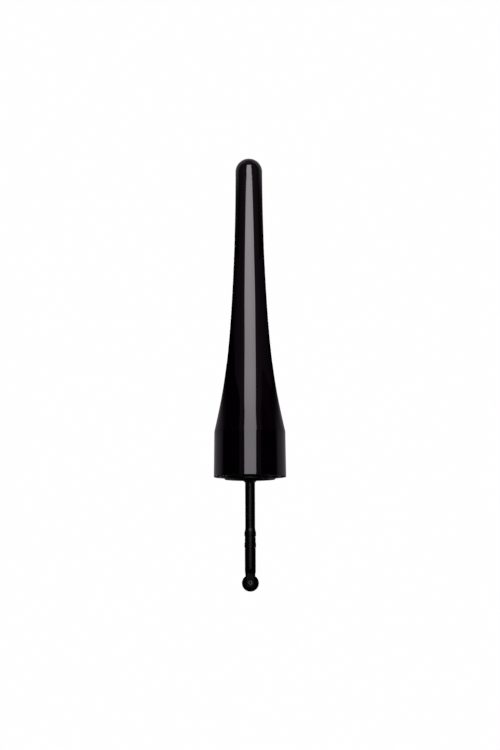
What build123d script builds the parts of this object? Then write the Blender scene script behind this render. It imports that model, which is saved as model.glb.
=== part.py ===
from build123d import *
import math
import os

os.makedirs("parts", exist_ok=True)

# Wheel-tipped applicator: a long flared screw-cap handle, a dip stem and a
# small free-turning wheel in a fork. Millimetres, +Z up towards the handle's
# tip. The origin is the centre of the handle shell's lower rim plane, and the
# wheel's axle lies along Y.

# ---- handle shell ---------------------------------------------------------
handle_height = 80.4
tip_radius = 3.36
rim_radius = 9.1
base_top_z = 11.4
base_top_radius = 8.93
rim_fillet = 0.12
base_corner_fillet = 0.4
# radius of the flare at a few heights between the base corner and the dome
flare = [(7.05, 20.3), (5.37, 32.3), (4.3, 46.3), (3.59, 62.3)]
flare_slope = (-0.217, 0.976)
shell_wall = 1.25
mouth_radius = 7.8
seat_z = 10.5
seat_step = 0.2
core_foot_slope = (0.15, -0.99)
core_top_z = 72.8
core_tip_inset = 0.1
snap_bead = 0.15
# the bead's edges below the deck: top, crest from and to, bottom
snap_edges = (0.05, 0.25, 0.45, 0.8)
mouth_lead_in = 0.25
key_width = 1.0
key_inner_radius = 6.9
key_low, key_high = 1.4, 7.8
key_root = 0.4
key_play = 0.06

# ---- inner closure --------------------------------------------------------
skirt_radius = 6.4
skirt_chamfer = 0.1
skirt_bore = 5.2
skirt_bottom = -0.62
lead_in = 0.25
deck_under = 9.3
flange_radius = 7.74
rib_count = 8
rib_width = 0.9
rib_radius = 7.55
rib_bottom = 0.9
overlap = 0.3
chimney_radius = 3.0
chimney_bore = 1.6
chimney_top = 18.0
groove_radius = 1.83
groove_low, groove_high = 14.5, 15.1
groove_rise, groove_ramp = 0.12, 0.23
gusset_width = 0.8
gusset_reach = 5.6
gusset_foot_top = 10.8
gusset_top = 15.0
thread_pitch = 2.4
thread_turns = 1.5
thread_start = 1.5
thread_crest = 4.7
thread_root_half, thread_crest_half = 0.62, 0.25
thread_sunk = 0.1

# ---- sealing washer -------------------------------------------------------
washer_radius = 4.6
washer_bore = 1.68
washer_thickness = 0.8

# ---- stem -----------------------------------------------------------------
stem_radius = 1.24
plug_radius = 1.7
plug_bottom = -0.96
head_radius = 1.56
head_top = 17.6
head_chamfer = 0.4
bead_radius = 1.79
bead_play = 0.05
bead_ramp = 0.23
stem_flange_radius = 2.8
stem_flange_thickness = 0.9
stem_flange_chamfer = 0.2
joint_z = -12.93
tongue_radius = 0.75
tongue_bottom = -19.7
tongue_chamfer = 0.3
lug_reach = 1.46
lug_width = 0.7
lug_height = 1.38
lug_flat = 1.05
lug_root = 0.4
lug_edge = 0.05
lug_foot_inset = 0.12
lug_tops = (-13.75, -16.55)

# ---- wheel fork -----------------------------------------------------------
sleeve_radius = 1.37
sleeve_bore = 0.79
sleeve_bore_end = -19.9
collar_end_z = -13.62
window_play = 0.05
collar_step = 0.01
axle_z = -26.65
slot_width = 1.1
slot_top = -24.25
arm_half_depth = 1.12
arm_tip_half_depth = 1.0
arm_ramp_top = -23.1
arm_end_radius = 1.1
arm_taper_top = -23.6
arm_taper_half_width = 1.23
arm_taper_low = -24.9
# the taper's line, carried on past the sleeve's side
taper_margin, taper_rise = 0.2, 0.9
arm_hole_radius = 0.41
arm_edge_fillet = 0.07

# length of the tools that cut right through the fork
through = 6

# ---- wheel and axle pin ---------------------------------------------------
wheel_radius = 2.14
wheel_thickness = 0.9
wheel_bevel = 0.2
wheel_bore = 0.43
hub_radius = 0.85
web_recess = 0.08
rim_inner_radius = 1.67
recess_slope = 0.08
pin_radius = 0.40
pin_head_radius = 0.6
pin_head_height = 0.2
pin_head_chamfer = 0.12
dimple_radius = 0.24
dimple_depth = 0.5


def turned(*edges):
    """Solid of revolution about Z from a closed outline in the XZ plane."""
    return revolve(make_face(Wire(list(edges))), Axis.Z)


def ring(outer, inner, low, high):
    """Plain tube standing on the plane z = low."""
    height = high - low
    tube = Cylinder(outer, height) - Cylinder(inner, height * 3)
    return Pos(0, 0, low + height / 2) * tube


def xz(points):
    """Polyline edges in the XZ plane from (x, z) pairs."""
    return [Line((a[0], 0, a[1]), (b[0], 0, b[1])) for a, b in zip(points, points[1:])]


def save(node, shape):
    shape.label = node
    export_step(shape, "parts/" + node + ".step")


# ===== handle shell ========================================================
def shell_outside():
    dome_z = handle_height - tip_radius
    d45 = tip_radius * math.sqrt(0.5)
    dome = ThreePointArc(
        (0, 0, handle_height), (d45, 0, dome_z + d45), (tip_radius, 0, dome_z)
    )
    down = [(tip_radius, dome_z)] + flare[::-1] + [(base_top_radius, base_top_z)]
    side = Spline(
        [(r, 0, z) for r, z in down],
        tangents=[(0, 0, -1), (-flare_slope[0], 0, -flare_slope[1])],
    )
    f45 = rim_fillet * (1 - math.sqrt(0.5))
    foot = ThreePointArc(
        (rim_radius, 0, rim_fillet),
        (rim_radius - f45, 0, f45),
        (rim_radius - rim_fillet, 0, 0),
    )
    base = Line((base_top_radius, 0, base_top_z), (rim_radius, 0, rim_fillet))
    closing = xz([(rim_radius - rim_fillet, 0), (0, 0), (0, handle_height)])
    return turned(dome, side, base, foot, *closing)


def shell_cavity():
    # the core follows the flare at one wall's distance and ends in a dome
    core_tip = tip_radius - shell_wall - core_tip_inset
    core_dome_z = core_top_z - core_tip
    d45 = core_tip * math.sqrt(0.5)
    dome = ThreePointArc(
        (0, 0, core_top_z), (d45, 0, core_dome_z + d45), (core_tip, 0, core_dome_z)
    )
    inner = [(r - shell_wall, z) for r, z in flare]
    seat_radius = base_top_radius - shell_wall - seat_step
    down = [(core_tip, core_dome_z)] + inner[::-1] + [(seat_radius, seat_z)]
    side = Spline(
        [(r, 0, z) for r, z in down],
        tangents=[(0, 0, -1), (core_foot_slope[0], 0, core_foot_slope[1])],
    )
    snap = mouth_radius - snap_bead
    mouth = xz(
        [
            (seat_radius, seat_z),
            (mouth_radius, seat_z),
            (mouth_radius, deck_under - snap_edges[0]),
            (snap, deck_under - snap_edges[1]),
            (snap, deck_under - snap_edges[2]),
            (mouth_radius, deck_under - snap_edges[3]),
            (mouth_radius, mouth_lead_in),
            (mouth_radius + mouth_lead_in, 0),
            (mouth_radius + mouth_lead_in, -1),
            (0, -1),
            (0, core_top_z),
        ]
    )
    return turned(dome, side, *mouth)


outside = shell_outside()
base_corner = outside.edges().filter_by(GeomType.CIRCLE).sort_by(
    lambda edge: abs(edge.center().Z - base_top_z)
)[0]
shell = fillet(base_corner, base_corner_fillet) - shell_cavity()
# anti-rotation keys, each beside a rib of the inner closure, on alternate sides
key_length = mouth_radius + key_root - key_inner_radius
key_side = rib_width / 2 + key_play + key_width / 2
key_middle = (key_low + key_high) / 2
for k in range(rib_count):
    side = 1 if k % 2 else -1
    key = Pos(key_inner_radius + key_length / 2, side * key_side, key_middle) * Box(
        key_length, key_width, key_high - key_low
    )
    shell += Rot(0, 0, 360 / rib_count * k) * key
save("handle_shell", shell)

# ===== inner closure =======================================================
skirt = turned(
    *xz(
        [
            (skirt_bore, skirt_bottom + lead_in),
            (skirt_bore + lead_in, skirt_bottom),
            (skirt_radius - skirt_chamfer, skirt_bottom),
            (skirt_radius, skirt_bottom + skirt_chamfer),
            (skirt_radius, deck_under),
            (flange_radius - lead_in, deck_under),
            (flange_radius, deck_under + lead_in),
            (flange_radius, seat_z),
            (chimney_radius, seat_z),
            (chimney_radius, chimney_top - lead_in),
            (chimney_radius - lead_in, chimney_top),
            (chimney_bore + lead_in, chimney_top),
            (chimney_bore, chimney_top - lead_in),
            (chimney_bore, groove_high + groove_rise),
            (groove_radius, groove_high),
            (groove_radius, groove_low),
            (chimney_bore, groove_low - groove_ramp),
            (chimney_bore, deck_under),
            (skirt_bore, deck_under),
            (skirt_bore, skirt_bottom + lead_in),
        ]
    )
)
closure = skirt

# spacer ribs between the skirt and the shell's mouth
rib_length = rib_radius - skirt_radius + overlap
for k in range(rib_count):
    rib_height = deck_under - rib_bottom + overlap
    rib = Pos(rib_radius - rib_length / 2, 0, rib_bottom + rib_height / 2) * Box(
        rib_length, rib_width, rib_height
    )
    closure += Rot(0, 0, 360 / rib_count * k) * rib

# triangular gussets that brace the chimney on the deck
gusset_outline = make_face(
    Polyline(
        (chimney_radius - overlap, 0, seat_z - overlap),
        (gusset_reach, 0, seat_z - overlap),
        (gusset_reach, 0, gusset_foot_top),
        (chimney_radius, 0, gusset_top),
        (chimney_radius - overlap, 0, gusset_top),
        close=True,
    )
)
gusset = extrude(gusset_outline, gusset_width / 2, both=True)
for k in range(4):
    closure += Rot(0, 0, 45 + 90 * k) * gusset

# one-start internal thread, a trapezoid bead swept along a helix
thread_path = Helix(thread_pitch, thread_pitch * thread_turns, skirt_bore, (0, 0, thread_start))
root = skirt_bore + thread_sunk
thread_plane = Plane(origin=thread_path @ 0, x_dir=(1, 0, 0), z_dir=thread_path % 0)
reach_out = root - skirt_bore
reach_in = thread_crest - skirt_bore
with BuildSketch(thread_plane) as bead:
    with BuildLine():
        Polyline(
            (reach_out, -thread_root_half),
            (reach_in, -thread_crest_half),
            (reach_in, thread_crest_half),
            (reach_out, thread_root_half),
            close=True,
        )
    make_face()
thread = sweep(bead.sketch, path=thread_path, is_frenet=True)
closure += thread
save("inner_closure", closure)

# ===== sealing washer ======================================================
washer = ring(washer_radius, washer_bore, deck_under - washer_thickness, deck_under)
save("sealing_washer", washer)

# ===== stem ================================================================
flange_top = deck_under - washer_thickness
flange_low = flange_top - stem_flange_thickness
cone_bottom = plug_bottom - (plug_radius - stem_radius)
stem = turned(
    *xz(
        [
            (0, head_top),
            (head_radius - head_chamfer, head_top),
            (head_radius, head_top - head_chamfer),
            (head_radius, groove_high),
            (bead_radius, groove_high - bead_play),
            (bead_radius, groove_low + bead_play),
            (head_radius, groove_low + bead_play - bead_ramp),
            (head_radius, flange_top),
            (stem_flange_radius, flange_top),
            (stem_flange_radius, flange_low + stem_flange_chamfer),
            (stem_flange_radius - stem_flange_chamfer, flange_low),
            (plug_radius, flange_low),
            (plug_radius, plug_bottom),
            (stem_radius, cone_bottom),
            (stem_radius, joint_z),
            (tongue_radius, joint_z),
            (tongue_radius, tongue_bottom + tongue_chamfer),
            (tongue_radius - tongue_chamfer, tongue_bottom),
            (0, tongue_bottom),
            (0, head_top),
        ]
    )
)
# snap lugs: a flat catch on top and a ramp below, one pair on each level
for top in lug_tops:
    for side in (-1, 1):
        lug_outline = make_face(
            Polyline(
                (side * lug_root, 0, top),
                (side * (lug_reach - lug_edge), 0, top),
                (side * lug_reach, 0, top - lug_edge),
                (side * lug_reach, 0, top - lug_flat),
                (side * (sleeve_radius - lug_foot_inset), 0, top - lug_height),
                (side * lug_root, 0, top - lug_height),
                close=True,
            )
        )
        stem += extrude(lug_outline, lug_width / 2, both=True)
save("stem", stem)

# ===== wheel fork ==========================================================
fork_bottom = axle_z - arm_end_radius
body = turned(
    *xz(
        [
            (sleeve_bore, joint_z),
            (stem_radius + collar_step, joint_z),
            (sleeve_radius, collar_end_z),
            (sleeve_radius, fork_bottom - 1),
            (0, fork_bottom - 1),
            (0, sleeve_bore_end),
            (sleeve_bore, sleeve_bore_end),
            (sleeve_bore, joint_z),
        ]
    )
)
# outline across the axle: straight sleeve, slight taper, round arm ends
wide = sleeve_radius + taper_margin
wide_low = arm_taper_top + taper_rise
across = make_face(
    Wire(
        xz(
            [
                (-arm_end_radius, axle_z),
                (-arm_taper_half_width, arm_taper_low),
                (-sleeve_radius, arm_taper_top),
                (-wide, wide_low),
                (-wide, 0),
                (wide, 0),
                (wide, wide_low),
                (sleeve_radius, arm_taper_top),
                (arm_taper_half_width, arm_taper_low),
                (arm_end_radius, axle_z),
            ]
        )
        + [
            ThreePointArc(
                (arm_end_radius, 0, axle_z),
                (0, 0, fork_bottom),
                (-arm_end_radius, 0, axle_z),
            )
        ]
    )
)
fork = body & extrude(across, through, both=True)
# flat outer faces of the two arms, each reached by a ramp and leaning in a little
# towards its end
for side in (-1, 1):
    flat = make_face(
        Polyline(
            (0, side * sleeve_radius, arm_ramp_top),
            (0, side * arm_half_depth, slot_top),
            (0, side * arm_tip_half_depth, fork_bottom),
            (0, side * arm_tip_half_depth, fork_bottom - 2),
            (0, side * through, fork_bottom - 2),
            (0, side * through, arm_ramp_top),
            close=True,
        )
    )
    fork -= extrude(flat, through, both=True)
# softened corners between each arm's flat face and its round flanks
near = 0.01
arm_edges = [
    edge
    for edge in fork.edges()
    if arm_tip_half_depth - near < abs(edge.center().Y) < arm_half_depth + near
    and slot_top > edge.center().Z > fork_bottom - near
]
fork = fillet(arm_edges, arm_edge_fillet)
# slot for the wheel, open downwards and to both sides
slot_height = slot_top - fork_bottom + 1
slot = Pos(0, 0, slot_top - slot_height / 2) * Box(through, slot_width, slot_height)
fork -= slot
fork -= Pos(0, 0, axle_z) * Rot(90, 0, 0) * Cylinder(arm_hole_radius, through)
# side windows that the stem's lugs snap into
for top in lug_tops:
    high = lug_height + 2 * window_play
    window = Box(through, lug_width + 2 * window_play, high)
    fork -= Pos(0, 0, top + window_play - high / 2) * window
save("wheel_fork", fork)

# ===== wheel ===============================================================
half = wheel_thickness / 2
face = half - web_recess
wheel_outline = xz(
    [
        (wheel_bore, -half),
        (hub_radius, -half),
        (hub_radius + recess_slope, -face),
        (rim_inner_radius - recess_slope, -face),
        (rim_inner_radius, -half),
        (wheel_radius - wheel_bevel, -half),
    ]
)
wheel_rim = ThreePointArc(
    (wheel_radius - wheel_bevel, 0, -half),
    (wheel_radius, 0, 0),
    (wheel_radius - wheel_bevel, 0, half),
)
wheel_outline_back = xz(
    [
        (wheel_radius - wheel_bevel, half),
        (rim_inner_radius, half),
        (rim_inner_radius - recess_slope, face),
        (hub_radius + recess_slope, face),
        (hub_radius, half),
        (wheel_bore, half),
        (wheel_bore, -half),
    ]
)
wheel = turned(*wheel_outline, wheel_rim, *wheel_outline_back)
save("wheel", Pos(0, 0, axle_z) * Rot(90, 0, 0) * wheel)

# ===== axle pin ============================================================
pin_half = (arm_half_depth + arm_tip_half_depth) / 2
pin_end = pin_half + pin_head_height
pin = turned(
    *xz(
        [
            (0, pin_end - dimple_depth),
            (dimple_radius, pin_end - dimple_depth),
            (dimple_radius, pin_end),
            (pin_head_radius - pin_head_chamfer, pin_end),
            (pin_head_radius, pin_end - pin_head_chamfer),
            (pin_head_radius, pin_half),
            (pin_radius, pin_half),
            (pin_radius, -pin_half),
            (pin_head_radius, -pin_half),
            (pin_head_radius, -pin_end + pin_head_chamfer),
            (pin_head_radius - pin_head_chamfer, -pin_end),
            (dimple_radius, -pin_end),
            (dimple_radius, -pin_end + dimple_depth),
            (0, -pin_end + dimple_depth),
            (0, pin_end - dimple_depth),
        ]
    )
)
save("axle_pin", Pos(0, 0, axle_z) * Rot(90, 0, 0) * pin)
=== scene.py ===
import math
import bpy
from mathutils import Matrix, Vector


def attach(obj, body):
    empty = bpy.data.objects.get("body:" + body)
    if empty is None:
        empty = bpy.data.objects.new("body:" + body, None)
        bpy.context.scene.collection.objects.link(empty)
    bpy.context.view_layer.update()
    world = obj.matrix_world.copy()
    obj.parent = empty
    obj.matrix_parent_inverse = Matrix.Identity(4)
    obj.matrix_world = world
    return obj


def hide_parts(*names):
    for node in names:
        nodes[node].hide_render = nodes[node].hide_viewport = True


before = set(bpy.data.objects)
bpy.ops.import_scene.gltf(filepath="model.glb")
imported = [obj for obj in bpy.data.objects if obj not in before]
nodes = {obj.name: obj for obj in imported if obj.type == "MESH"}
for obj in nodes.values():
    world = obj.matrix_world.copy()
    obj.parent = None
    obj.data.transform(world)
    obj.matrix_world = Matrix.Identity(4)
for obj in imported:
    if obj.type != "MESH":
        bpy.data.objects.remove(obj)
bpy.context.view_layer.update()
scene = bpy.context.scene

# ---- camera: a long lens a little below the object's middle ---------------
camera_distance = 1.5
camera_elevation = math.radians(-4.5)
camera_roll = math.radians(0.22)
camera_lens = 286.4
aim = Vector((0.0001, 0.0, 0.0257))

# ---- studio ---------------------------------------------------------------
dome_radius = 3.4
floor_z = -0.12
floor_radius = dome_radius * 0.98
key_distance = 1.0
key_overhead_end = 60
key_overhead_spread = (0.04, 0.06)
fill_radius = 1.36
side_fill_radius = fill_radius * 1.01
base_card_radius = 0.04
base_card_low, base_card_high = 0.0015, 0.032
tip_card_radius = 0.11
tip_card_low, tip_card_high = 0.072, 0.35
tip_card_edge = 84
tip_flag_low, tip_flag_high = 0.0889, 0.21
tip_flag_half_gap, tip_flag_shift = 21.3, 1.6
overhead_half_width, overhead_height = 0.5, 0.5
overhead_front, overhead_back = -0.15, 1.0
rear_radius = 1.1
rear_low, rear_high = -0.02, 1.2
rear_left, rear_right = 172, 188
rear_strip_radius = base_card_radius - 0.0005
rear_strip_high = 0.034
rear_strip_left, rear_strip_right = 171, 189
floor_card_lift = 0.002
world_strength = 0.001
# the green share of each light: a faint magenta cast, deeper in the shadows
key_cast = 0.957
card_cast = 0.89
fill_cast = 0.77

# ---- handle shell, in millimetres as in the CAD ---------------------------
handle_height = 80.4
tip_radius = 3.36
rim_radius = 9.1
rim_fillet = 0.12
base_top_z = 11.4
base_top_radius = 8.93
flare = [(7.05, 20.3), (5.37, 32.3), (4.3, 46.3), (3.59, 62.3)]
flare_foot_slope = -0.222
shell_wall = 1.25
mouth_radius = 7.8
mouth_lead_width, mouth_lead_height = 0.25, 0.3
bead_height = 0.15
bead_low, bead_crest_low, bead_crest_high, bead_high = 8.5, 8.85, 9.05, 9.25
seat_z = 10.5
seat_step = 0.2
core_step = 0.1
core_foot_slope = -0.15
core_top_z = 72.8
key_inner_radius = 6.9
key_width = 1.0
key_chamfer = 0.08
key_root = 0.4
key_low, key_high = 1.4, 7.8
key_offset = 1.01
key_count = 8
pole_angle = 89.5
handle_segments = 192
crease_angle = 28

# ---- axle pin, in metres --------------------------------------------------
axle = (0.0, 0.0, -0.02665)
# radius of the painted shade in the pin head's dimple
dimple_shade_radius = 0.00026


# ===== node helpers ========================================================
def new_material(name):
    mat = bpy.data.materials.new(name)
    mat.use_nodes = True
    mat.node_tree.nodes.clear()
    return mat


def add(mat, kind, **values):
    node = mat.node_tree.nodes.new(kind)
    for key, value in values.items():
        if key in node.inputs:
            node.inputs[key].default_value = value
        else:
            setattr(node, key, value)
    return node


def link(mat, source, target):
    mat.node_tree.links.new(source, target)


def ramp(mat, stops):
    """Color ramp from (position, (r, g, b)) stops."""
    node = add(mat, "ShaderNodeValToRGB")
    elements = node.color_ramp.elements
    while len(elements) < len(stops):
        elements.new(0.5)
    for element, (position, colour) in zip(elements, stops):
        element.position = position
        element.color = (*colour, 1.0)
    return node


def noise(mat, scale, detail, roughness=0.5):
    coords = add(mat, "ShaderNodeTexCoord")
    node = add(mat, "ShaderNodeTexNoise", Scale=scale, Detail=detail, Roughness=roughness)
    link(mat, coords.outputs["Object"], node.inputs["Vector"])
    return node.outputs["Fac"]


def mapped(mat, source, low, high, to_low=0.0, to_high=1.0):
    """The range low to high of a value, mapped to another range and held at its ends."""
    node = add(mat, "ShaderNodeMapRange")
    node.inputs["From Min"].default_value = low
    node.inputs["From Max"].default_value = high
    node.inputs["To Min"].default_value = to_low
    node.inputs["To Max"].default_value = to_high
    link(mat, source, node.inputs["Value"])
    return node.outputs["Result"]


def times(mat, source, factor):
    """A value times a number or another value."""
    node = add(mat, "ShaderNodeMath", operation="MULTIPLY")
    link(mat, source, node.inputs[0])
    if isinstance(factor, float):
        node.inputs[1].default_value = factor
    else:
        link(mat, factor, node.inputs[1])
    return node.outputs["Value"]


def place(mat, axis):
    """Object X, Y or Z, or A: the azimuth in degrees, 0 to the front, positive to +X."""
    coords = add(mat, "ShaderNodeTexCoord")
    split = add(mat, "ShaderNodeSeparateXYZ")
    link(mat, coords.outputs["Object"], split.inputs["Vector"])
    if axis != "A":
        return split.outputs[axis]
    turn = add(mat, "ShaderNodeMath", operation="ARCTAN2")
    link(mat, split.outputs["X"], turn.inputs[0])
    link(mat, times(mat, split.outputs["Y"], -1.0), turn.inputs[1])
    return times(mat, turn.outputs["Value"], 180 / math.pi)


def profile(mat, axis, stops):
    """A value, 0 to 1 of the highest stop, that follows (place, value) stops on an axis."""
    low, high = stops[0][0], stops[-1][0]
    top = max(value for _, value in stops)
    shade = ramp(mat, [((p - low) / (high - low), (v / top,) * 3) for p, v in stops])
    link(mat, mapped(mat, place(mat, axis), low, high), shade.inputs["Fac"])
    return shade.outputs["Color"], top


def off_centre(mat, centre, radius):
    """0 within a radius of a line along Y through the centre, 1 outside its soft edge."""
    coords = add(mat, "ShaderNodeTexCoord")
    flat = add(mat, "ShaderNodeVectorMath", operation="MULTIPLY")
    flat.inputs[1].default_value = (1.0, 0.0, 1.0)
    link(mat, coords.outputs["Object"], flat.inputs[0])
    away = add(mat, "ShaderNodeVectorMath", operation="DISTANCE")
    away.inputs[1].default_value = centre
    link(mat, flat.outputs["Vector"], away.inputs[0])
    return mapped(mat, away.outputs["Value"], radius * 0.95, radius * 1.15)


# ===== plastics ============================================================
def plastic(name, dark, light, rough, wave, grain, specular=0.5, polish=None, dimple_shade=None):
    """Moulded plastic. rough is (low, high); wave and grain are (scale, depth) of the
    slow waviness and the fine texture of the moulded skin; polish is the share of the
    specular level along the height; the last argument is the (centre, radius) of painted
    shade in a hollow, where colour and specular level are taken down to nothing."""
    mat = new_material(name)
    out = add(mat, "ShaderNodeOutputMaterial")
    shader = add(mat, "ShaderNodeBsdfPrincipled")
    shader.inputs["IOR"].default_value = 1.5
    shader.inputs["Specular IOR Level"].default_value = specular
    link(mat, shader.outputs["BSDF"], out.inputs["Surface"])
    if polish:
        share, top = profile(mat, "Z", polish)
        link(mat, times(mat, share, specular * top), shader.inputs["Specular IOR Level"])
    shade = ramp(mat, [(0.3, dark), (0.7, light)])
    link(mat, noise(mat, 160, 3), shade.inputs["Fac"])
    link(mat, shade.outputs["Color"], shader.inputs["Base Color"])
    # painted shade in the hollow: inside its radius the base colour goes black and the specular
    # level drops to nothing, standing in for the shade of a deep hole
    if dimple_shade:
        outside_painted_shade = off_centre(mat, *dimple_shade)
        painted_shade_colour = add(mat, "ShaderNodeVectorMath", operation="SCALE")
        link(mat, shade.outputs["Color"], painted_shade_colour.inputs[0])
        link(mat, outside_painted_shade, painted_shade_colour.inputs["Scale"])
        link(mat, painted_shade_colour.outputs["Vector"], shader.inputs["Base Color"])
        link(mat, times(mat, outside_painted_shade, specular), shader.inputs["Specular IOR Level"])
    link(mat, mapped(mat, noise(mat, 420, 5, 0.6), 0.3, 0.7, *rough), shader.inputs["Roughness"])
    bump_slow = add(mat, "ShaderNodeBump", Strength=1.0, Distance=wave[1])
    bump_fine = add(mat, "ShaderNodeBump", Strength=1.0, Distance=grain[1])
    link(mat, noise(mat, wave[0], 1), bump_slow.inputs["Height"])
    link(mat, noise(mat, grain[0], 2), bump_fine.inputs["Height"])
    link(mat, bump_slow.outputs["Normal"], bump_fine.inputs["Normal"])
    link(mat, bump_fine.outputs["Normal"], shader.inputs["Normal"])
    return mat


def black(value):
    return (value, value * 0.4, value)


def grey(value):
    return (value, value * 0.94, value)


# (height, share of the specular level): dims the long highlight towards the base as the
# photograph shows it. Whether the finish or the light does that there is not known.
polish = [
    (0.0, 0.595),
    (0.013, 0.59),
    (0.019, 0.69),
    (0.025, 0.77),
    (0.034, 0.81),
    (0.044, 0.89),
    (0.054, 0.95),
    (0.060, 1.0),
    (0.080, 1.0),
]
finishes = {
    "handle_shell": plastic(
        "gloss_shell", black(0.0005), black(0.0008), (0.02, 0.04), (60, 5e-8), (2500, 5e-9),
        polish=polish,
    ),
    "inner_closure": plastic(
        "closure_plastic", black(0.001), black(0.0016), (0.28, 0.36), (300, 5e-7), (6000, 8e-7),
        specular=0.22,
    ),
    "sealing_washer": plastic(
        "washer_rubber", grey(0.02), grey(0.035), (0.6, 0.75), (300, 2e-6), (9000, 4e-6)
    ),
    "stem": plastic(
        "stem_plastic", black(0.0005), black(0.0008), (0.19, 0.24), (300, 5e-7), (6000, 3e-7),
        specular=0.13,
    ),
    "wheel_fork": plastic(
        "fork_plastic", black(0.0005), black(0.0008), (0.19, 0.24), (300, 5e-7), (6000, 3e-7),
        specular=0.13,
    ),
    "wheel": plastic(
        "wheel_plastic", black(0.0004), black(0.0006), (0.08, 0.12), (400, 5e-7), (8000, 2e-7),
        specular=0.08,
    ),
    # the pin gets painted shade in the dimple of its head: black colour and no specular level inside
    # it
    "axle_pin": plastic(
        "pin_plastic", grey(0.012), grey(0.016), (0.3, 0.4), (500, 5e-7), (9000, 3e-7),
        specular=0.3, dimple_shade=(axle, dimple_shade_radius),
    ),
}
for name, mat in finishes.items():
    node = nodes[name]
    for index in range(len(node.material_slots)):
        node.material_slots[index].material = mat


# ===== meshes ==============================================================
def new_object(name, verts, faces, smooth_angle=None):
    mesh = bpy.data.meshes.new(name)
    mesh.from_pydata(verts, [], faces)
    if smooth_angle is not None:
        for poly in mesh.polygons:
            poly.use_smooth = True
        mesh.set_sharp_from_angle(angle=math.radians(smooth_angle))
    obj = bpy.data.objects.new(name, mesh)
    scene.collection.objects.link(obj)
    return obj


def grid_faces(rows, columns):
    faces = []
    for r in range(rows - 1):
        for c in range(columns - 1):
            a = r * columns + c
            faces.append((a, a + 1, a + columns + 1, a + columns))
    return faces


def smooth_steps(points, steps):
    """Catmull-Rom through tuples of any length, with ends repeated."""
    padded = [points[0]] + list(points) + [points[-1]]
    result = []
    for i in range(1, len(padded) - 2):
        a, b, c, d = padded[i - 1 : i + 3]
        for s in range(steps):
            t = s / steps
            row = []
            for p, q, r, u in zip(a, b, c, d):
                row.append(
                    0.5 * (2 * q + (r - p) * t + (2 * p - 5 * q + 4 * r - u) * t * t
                           + (3 * q - p - 3 * r + u) * t ** 3)
                )
            result.append(tuple(row))
    result.append(tuple(points[-1]))
    return result


def fair_curve(points, first_slope, last_slope, steps):
    """Fair cubic through (radius, height) points with the slopes given at both ends."""
    radius = [p[0] for p in points]
    height = [p[1] for p in points]
    step = [b - a for a, b in zip(height, height[1:])]
    rise = [(b - a) / h for a, b, h in zip(radius, radius[1:], step)]
    slope = [first_slope] + rise[1:] + [last_slope]
    for _ in range(40):
        for i in range(1, len(points) - 1):
            before, after = 1 / step[i - 1], 1 / step[i]
            pull = 3 * (rise[i - 1] * before + rise[i] * after)
            pull -= slope[i - 1] * before + slope[i + 1] * after
            slope[i] = pull / (2 * (before + after))
    result = []
    for i, h in enumerate(step):
        for s in range(steps):
            t = s / steps
            result.append(
                (
                    radius[i] * (1 + 2 * t) * (1 - t) ** 2
                    + radius[i + 1] * t * t * (3 - 2 * t)
                    + h * slope[i] * t * (1 - t) ** 2
                    - h * slope[i + 1] * t * t * (1 - t),
                    height[i] + h * t,
                )
            )
    result.append(points[-1])
    return result


def arc(centre, radius, start, end, steps):
    """(radius, height) points on an arc, angles in degrees from outwards to up."""
    result = []
    for s in range(steps + 1):
        angle = math.radians(start + (end - start) * s / steps)
        result.append((centre[0] + radius * math.cos(angle), centre[1] + radius * math.sin(angle)))
    return result


def straight(start, end, shares=(0.0, 0.01, 0.05, 0.2, 0.5, 0.8, 0.95, 0.99, 1.0)):
    """A straight run with close rows near its ends, so that its shading stays flat."""
    return [(start[0] + (end[0] - start[0]) * t, start[1] + (end[1] - start[1]) * t) for t in shares]


def turned(outline, segments):
    """Rings of an outline of (radius, height) in millimetres, turned about Z."""
    verts, faces = [], []
    for radius, height in outline:
        for s in range(segments):
            a = 2 * math.pi * s / segments
            verts.append((radius * math.cos(a) / 1000, radius * math.sin(a) / 1000, height / 1000))
    for r in range(len(outline) - 1):
        for s in range(segments):
            a = r * segments + s
            b = r * segments + (s + 1) % segments
            faces.append((a, a + segments, b + segments, b))
    return verts, faces


def drop_repeats(outline):
    kept = [outline[0]]
    for point in outline[1:]:
        if math.dist(point, kept[-1]) > 1e-6:
            kept.append(point)
    return kept


def handle_outline():
    dome_z = handle_height - tip_radius
    down = [(tip_radius, dome_z)] + flare[::-1] + [(base_top_radius, base_top_z)]
    outline = arc((0, dome_z), tip_radius, pole_angle, 0, 40)
    outline += fair_curve(down, 0.0, flare_foot_slope, 18)
    outline += straight((base_top_radius, base_top_z), (rim_radius, rim_fillet))
    outline += arc((rim_radius - rim_fillet, rim_fillet), rim_fillet, 0, -90, 8)
    lead_radius = mouth_radius + mouth_lead_width
    bead_radius = mouth_radius - bead_height
    outline += straight((rim_radius - rim_fillet, 0), (lead_radius, 0))
    outline += straight((lead_radius, 0), (mouth_radius, mouth_lead_height))
    outline += straight((mouth_radius, mouth_lead_height), (mouth_radius, bead_low))
    outline += [(bead_radius, bead_crest_low), (bead_radius, bead_crest_high)]
    outline += straight((mouth_radius, bead_high), (mouth_radius, seat_z))
    seat_radius = base_top_radius - shell_wall - seat_step
    core_tip = tip_radius - shell_wall - core_step
    inner = [(seat_radius, seat_z)] + [(r - shell_wall, z) for r, z in flare]
    inner += [(core_tip, core_top_z - core_tip)]
    outline += straight((mouth_radius, seat_z), (seat_radius, seat_z))
    outline += fair_curve(inner, core_foot_slope, 0.0, 6)
    outline += arc((0, core_top_z - core_tip), core_tip, 0, pole_angle, 12)
    return drop_repeats(outline)


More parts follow.
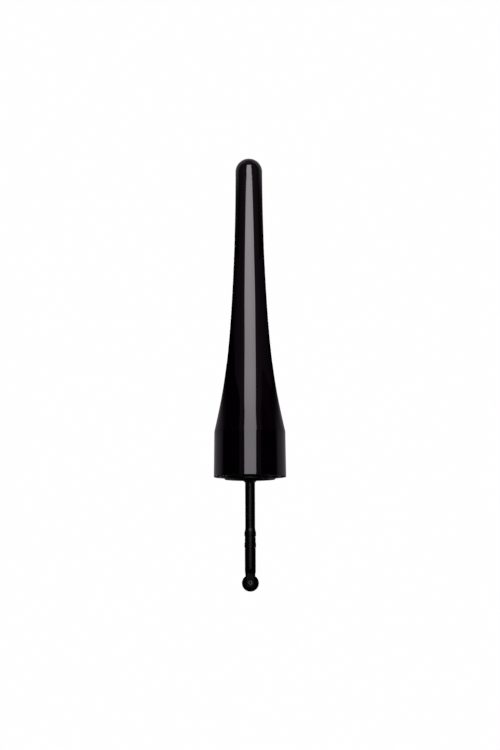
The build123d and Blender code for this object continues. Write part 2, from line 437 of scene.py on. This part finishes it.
def key_block(index):
    """One anti-rotation key of the mouth, with small chamfers on its long edges."""
    cut = key_chamfer
    side = 1 if index % 2 else -1
    low_x, high_x = key_inner_radius, mouth_radius + key_root
    low_y, high_y = side * key_offset - key_width / 2, side * key_offset + key_width / 2
    section = [
        (low_x + cut, low_y),
        (high_x, low_y),
        (high_x, high_y),
        (low_x + cut, high_y),
        (low_x, high_y - cut),
        (low_x, low_y + cut),
    ]
    turn = 2 * math.pi * index / key_count
    verts = []
    for z in (key_low, key_high):
        for x, y in section:
            verts.append(
                (
                    (x * math.cos(turn) - y * math.sin(turn)) / 1000,
                    (x * math.sin(turn) + y * math.cos(turn)) / 1000,
                    z / 1000,
                )
            )
    count = len(section)
    faces = [tuple(range(count))[::-1], tuple(range(count, 2 * count))]
    for s in range(count):
        t = (s + 1) % count
        faces.append((s, t, t + count, s + count))
    return verts, faces


def handle():
    """The shell turned in fine even rings: its mirror gloss shows any unevenness."""
    verts, faces = turned(handle_outline(), handle_segments)
    for index in range(key_count):
        more, sides = key_block(index)
        faces += [tuple(v + len(verts) for v in face) for face in sides]
        verts += more
    obj = new_object("handle_gloss", verts, faces, crease_angle)
    # the corner where the flare meets the base is crisp
    corner_z = base_top_z / 1000
    for edge in obj.data.edges:
        ends = [obj.data.vertices[v].co for v in edge.vertices]
        level = all(abs(end.z - corner_z) < 1e-6 for end in ends)
        outside = all(end.xy.length > mouth_radius / 1000 for end in ends)
        edge.use_edge_sharp = edge.use_edge_sharp or (level and outside)
    obj.data.materials.append(finishes["handle_shell"])
    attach(obj, "applicator")
    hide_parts("handle_shell")


handle()


# ===== studio ==============================================================
def stage_mesh(name, verts, faces, smooth_angle=None):
    obj = new_object(name, verts, faces, smooth_angle)
    return obj


def glow(name, cast, first, second=None):
    """Emission that follows (axis, stops) of strength, times a second such profile."""
    mat = new_material(name)
    out = add(mat, "ShaderNodeOutputMaterial")
    shader = add(mat, "ShaderNodeEmission", Color=(1.0, cast, 1.0, 1.0))
    share, strength = profile(mat, *first)
    if second:
        second_share, second_strength = profile(mat, *second)
        share = times(mat, share, second_share)
        strength *= second_strength
    link(mat, times(mat, share, strength), shader.inputs["Strength"])
    link(mat, shader.outputs["Emission"], out.inputs["Surface"])
    return mat


def lamp_card(obj, mat):
    """A card that lights and reflects but is never seen directly."""
    obj.data.materials.append(mat)
    obj.visible_camera = False
    obj.visible_shadow = False
    obj.visible_transmission = False


def key_softbox():
    """Tall soft light in front, as (height, left edge, right edge), that curves overhead.
    Its uneven outline is drawn to give the photograph's highlight, and is no real lamp's."""
    outline = [
        (0.086, -0.312, 0.344),
        (0.118, -0.317, 0.367),
        (0.196, -0.34, 0.41),
        (0.208, -0.42, 0.50),
        (0.235, -0.54, 0.63),
        (0.265, -0.62, 0.74),
        (0.285, -0.62, 0.77),
        (0.305, -0.57, 0.80),
        (0.340, -0.51, 0.70),
        (0.400, -0.47, 0.62),
        (0.480, -0.435, 0.54),
        (0.545, -0.402, 0.487),
        (0.565, -0.383, 0.465),
        (0.580, -0.352, 0.440),
        (0.620, -0.35, 0.413),
    ]
    verts = []
    rows = smooth_steps(outline, 6)
    for z, left, right in rows:
        verts += [(left, -key_distance, z), (right, -key_distance, z)]
    steps = 16
    top_z, top_left, top_right = outline[-1]
    spread_left, spread_right = key_overhead_spread
    reach = math.hypot(key_distance, top_z)
    start = math.atan2(top_z, key_distance)
    for i in range(1, steps + 1):
        t = i / steps
        angle = start + (math.radians(key_overhead_end) - start) * t
        y, z = -reach * math.cos(angle), reach * math.sin(angle)
        verts += [(top_left + spread_left * t, y, z), (top_right + spread_right * t, y, z)]
    obj = stage_mesh("key_softbox", verts, grid_faces(len(rows) + steps, 2))
    up = [(0.086, 6.0), (0.1, 6.5), (0.7, 6.6), (1.2, 6.8)]
    across = [(-0.8, 1.02), (-0.3, 0.96), (0.0, 1.0), (0.15, 1.0), (0.42, 0.9), (0.95, 0.92)]
    lamp_card(obj, glow("key_light", key_cast, ("Z", up), ("X", across)))


def arc_row(radius, z, left, right, segments):
    """Points round the Z axis between two azimuths in degrees: 0 is towards the camera
    and +X is positive."""
    row = []
    for i in range(segments + 1):
        a = math.radians(left + (right - left) * i / segments)
        row.append((radius * math.sin(a), -radius * math.cos(a), z))
    return row


def arc_wall(name, radius, rows, segments):
    """Upright wall bent round the Z axis, from rows of (height, left, right) azimuth."""
    verts = []
    for z, left, right in rows:
        verts += arc_row(radius, z, left, right, segments)
    return stage_mesh(name, verts, grid_faces(len(rows), segments + 1))


def fill_walls():
    """Weak broad light round the front: narrow low down and high up, wide between."""
    rows = [
        (0.10, -34, 36),
        (0.16, -34, 36),
        (0.19, -100, 110),
        (0.215, -132, 138),
        (0.235, -128, 138),
        (0.265, -115, 136),
        (0.32, -97, 135),
        (0.375, -86, 133),
        (0.40, -82, 110),
        (0.43, -77, 76),
        (0.46, -72, 63),
        (0.505, -64, 58),
        (0.585, -50, 54),
        (0.64, -43, 50),
        (0.70, -39, 44),
        (0.745, -37, 39),
        (0.85, -36, 36),
        (1.4, -36, 36),
    ]
    obj = arc_wall("fill_wall", fill_radius, rows, 64)
    around = [
        (-140, 0.0),
        (-118, 0.016),
        (-106, 0.03),
        (-96, 0.045),
        (-86, 0.06),
        (-76, 0.08),
        (-62, 0.09),
        (-50, 0.11),
        (-36, 0.18),
        (-28, 0.16),
        (28, 0.17),
        (40, 0.15),
        (48, 0.125),
        (62, 0.10),
        (80, 0.078),
        (96, 0.06),
        (110, 0.04),
        (122, 0.022),
        (140, 0.0),
    ]
    up = [(0.10, 0.85), (0.17, 0.85), (0.33, 1.0), (1.4, 1.0)]
    lamp_card(obj, glow("fill_light", fill_cast, ("A", around), ("Z", up)))
    rows = [(0.38, 70, 128), (0.45, 57, 125), (0.53, 55, 115), (0.63, 50, 100), (0.675, 48, 90)]
    side = arc_wall("side_fill", side_fill_radius, rows, 24)
    around = [(45, 0.034), (66, 0.034), (80, 0.028), (95, 0.02), (108, 0.012), (128, 0.0)]
    up = [(0.38, 1.0), (0.585, 1.0), (0.675, 0.2)]
    lamp_card(side, glow("side_light", fill_cast, ("A", around), ("Z", up)))


def base_cards():
    """Two cards close behind the base, which draw the soft bands along its sides."""
    up = [
        (0.0, 1.0),
        (0.012, 1.0),
        (0.018, 0.76),
        (0.022, 0.7),
        (0.024, 0.5),
        (0.0255, 0.3),
        (0.027, 0.14),
        (0.029, 0.05),
        (base_card_high, 0.0),
    ]
    right_round = [(82, 0.0), (87, 0.1), (92, 0.27), (97, 0.32), (104, 0.34), (180, 0.34)]
    left_round = [
        (-180, 0.36),
        (-108, 0.35),
        (-101, 0.29),
        (-96, 0.23),
        (-91, 0.17),
        (-87, 0.05),
        (-82, 0.0),
    ]
    for side, around in (("right", right_round), ("left", left_round)):
        start, end = around[0][0], around[-1][0]
        rows = [(base_card_low, start, end), (base_card_high, start, end)]
        card = arc_wall("base_card_" + side, base_card_radius, rows, 48)
        lamp_card(card, glow("base_light_" + side, card_cast, ("A", around), ("Z", up)))


def tip_cards():
    """Cards behind the tip for its soft outline, and dim flags that narrow the key
    light for the dome alone."""
    up = [
        (tip_card_low, 0.0),
        (0.076, 0.05),
        (0.081, 0.11),
        (0.083, 0.14),
        (0.0855, 0.26),
        (0.087, 0.5),
        (0.0885, 0.75),
        (0.091, 0.95),
        (0.1, 1.0),
        (tip_card_high, 1.0),
    ]
    for side, sign in (("right", 1), ("left", -1)):
        span = sorted((tip_card_edge * sign, 180 * sign))
        rows = [(tip_card_low, *span), (tip_card_high, *span)]
        card = arc_wall("tip_card_" + side, tip_card_radius, rows, 32)
        stops = [(tip_card_edge, 0.0), (92, 0.12), (104, 0.3), (118, 0.38), (180, 0.38)]
        around = sorted((azimuth * sign, strength) for azimuth, strength in stops)
        lamp_card(card, glow("tip_light_" + side, card_cast, ("A", around), ("Z", up)))
        span = sorted((tip_flag_half_gap * sign + tip_flag_shift, tip_card_edge * sign))
        rows = [(tip_flag_low, *span), (tip_flag_high, *span)]
        flag = arc_wall("tip_flag_" + side, tip_card_radius, rows, 16)
        stops = [(18, 0.14), (40, 0.13), (62, 0.11), (tip_card_edge, 0.06)]
        around = sorted((azimuth * sign, strength) for azimuth, strength in stops)
        lamp_card(flag, glow("flag_light_" + side, fill_cast, ("A", around)))


def overhead_card():
    """A dim level card above, from just in front of the object to well behind it."""
    verts = [
        (-overhead_half_width, overhead_front, overhead_height),
        (overhead_half_width, overhead_front, overhead_height),
        (overhead_half_width, overhead_back, overhead_height),
        (-overhead_half_width, overhead_back, overhead_height),
    ]
    card = stage_mesh("overhead_card", verts, [(0, 1, 2, 3)])
    along = [(overhead_front, 0.15), (overhead_back, 0.12)]
    lamp_card(card, glow("overhead_light", card_cast, ("Y", along)))


def rear_lights():
    """A narrow upright light straight behind and a near strip in front of the base
    cards: the front never mirrors them, they shape the far side."""
    rows = [(rear_low, rear_left, rear_right), (rear_high, rear_left, rear_right)]
    far = arc_wall("rear_softbox", rear_radius, rows, 8)
    lamp_card(far, glow("rear_light", key_cast, ("Z", [(rear_low, 3.4), (rear_high, 4.0)])))
    rows = [
        (base_card_low, rear_strip_left, rear_strip_right),
        (rear_strip_high, rear_strip_left, rear_strip_right),
    ]
    near = arc_wall("rear_strip", rear_strip_radius, rows, 8)
    up = [(base_card_low, 3.0), (rear_strip_high, 3.4)]
    lamp_card(near, glow("rear_strip_light", key_cast, ("Z", up)))


def floor_sector(name, inner, outer, left, right, strength, cast):
    """A glowing sector of a ring, just over the floor."""
    segments = 16
    z = floor_z + floor_card_lift
    verts = arc_row(inner, z, left, right, segments) + arc_row(outer, z, left, right, segments)
    obj = stage_mesh(name, verts, grid_faces(2, segments + 1))
    lamp_card(obj, glow(name + "_light", cast, ("Z", [(-1.0, strength), (1.0, strength)])))


def only_seen(obj, mat):
    """The camera sees it, but it neither lights the object nor shows in its gloss."""
    obj.data.materials.append(mat)
    obj.visible_diffuse = False
    obj.visible_glossy = False
    obj.visible_shadow = False
    obj.visible_transmission = False


def white_room():
    rings, segments = 32, 64
    verts = []
    for r in range(rings + 1):
        polar = math.pi * r / rings
        for s in range(segments + 1):
            a = 2 * math.pi * s / segments
            verts.append(
                (
                    dome_radius * math.sin(polar) * math.cos(a),
                    dome_radius * math.sin(polar) * math.sin(a),
                    dome_radius * math.cos(polar),
                )
            )
    dome = stage_mesh("white_room", verts, grid_faces(rings + 1, segments + 1), 180)
    mat = new_material("room_white")
    out = add(mat, "ShaderNodeOutputMaterial")
    shader = add(mat, "ShaderNodeEmission", Color=(1.0, 0.993, 1.0, 1.0), Strength=1.0)
    link(mat, shader.outputs["Emission"], out.inputs["Surface"])
    only_seen(dome, mat)


def paper_floor():
    """Pale self-lit paper, so that no lamp marks it, and clear from below so that a low
    camera sees the room."""
    segments = 64
    verts = [(0, 0, floor_z)]
    faces = []
    for s in range(segments):
        a = 2 * math.pi * s / segments
        verts.append((floor_radius * math.cos(a), floor_radius * math.sin(a), floor_z))
        faces.append((0, s + 1, (s + 1) % segments + 1))
    sheet = stage_mesh("floor", verts, faces)
    mat = new_material("floor_paper")
    out = add(mat, "ShaderNodeOutputMaterial")
    shader = add(mat, "ShaderNodeEmission", Strength=1.0)
    shade = ramp(mat, [(0.3, (0.82, 0.815, 0.82)), (0.7, (0.85, 0.845, 0.85))])
    link(mat, noise(mat, 40, 4), shade.inputs["Fac"])
    link(mat, shade.outputs["Color"], shader.inputs["Color"])
    clear = add(mat, "ShaderNodeBsdfTransparent")
    side = add(mat, "ShaderNodeNewGeometry")
    pick = add(mat, "ShaderNodeMixShader")
    link(mat, side.outputs["Backfacing"], pick.inputs[0])
    link(mat, shader.outputs["Emission"], pick.inputs[1])
    link(mat, clear.outputs["BSDF"], pick.inputs[2])
    link(mat, pick.outputs["Shader"], out.inputs["Surface"])
    only_seen(sheet, mat)


key_softbox()
fill_walls()
base_cards()
tip_cards()
overhead_card()
rear_lights()
floor_sector("floor_left", 0.05, 0.6, -172, -112, 0.2, card_cast)
floor_sector("floor_right", 0.05, 0.6, 104, 172, 0.4, card_cast)
floor_sector("floor_front_streak", 0.35, 1.3, -16, 20, 0.4, key_cast)
floor_sector("floor_front_left", 0.2, 1.3, -76, -24, 0.4, card_cast)
floor_sector("floor_front_right", 0.2, 1.3, 30, 76, 0.3, card_cast)
floor_sector("floor_right_streak", 0.61, 1.6, 100, 116, 3.0, key_cast)
floor_sector("floor_left_streak", 0.61, 1.6, -146, -128, 3.0, key_cast)
white_room()
paper_floor()

world = bpy.data.worlds.new("studio")
world.use_nodes = True
background = world.node_tree.nodes["Background"]
background.inputs["Color"].default_value = (1, 0.8, 1, 1)
background.inputs["Strength"].default_value = world_strength
scene.world = world

# ===== camera ==============================================================
lens = bpy.data.cameras.new("camera")
lens.lens = camera_lens
lens.sensor_width = 36.0
lens.clip_start = 0.05
lens.clip_end = 20.0
camera = bpy.data.objects.new("camera", lens)
scene.collection.objects.link(camera)
forward = Vector((0, math.cos(camera_elevation), -math.sin(camera_elevation)))
up = Vector((math.sin(camera_roll), 0, math.cos(camera_roll)))
right = forward.cross(up).normalized()
up = right.cross(forward).normalized()
turn = Matrix((right, up, -forward)).transposed()
camera.matrix_world = Matrix.Translation(aim - forward * camera_distance) @ turn.to_4x4()
scene.camera = camera
scene.view_settings.view_transform = "Standard"
scene.view_settings.look = "None"
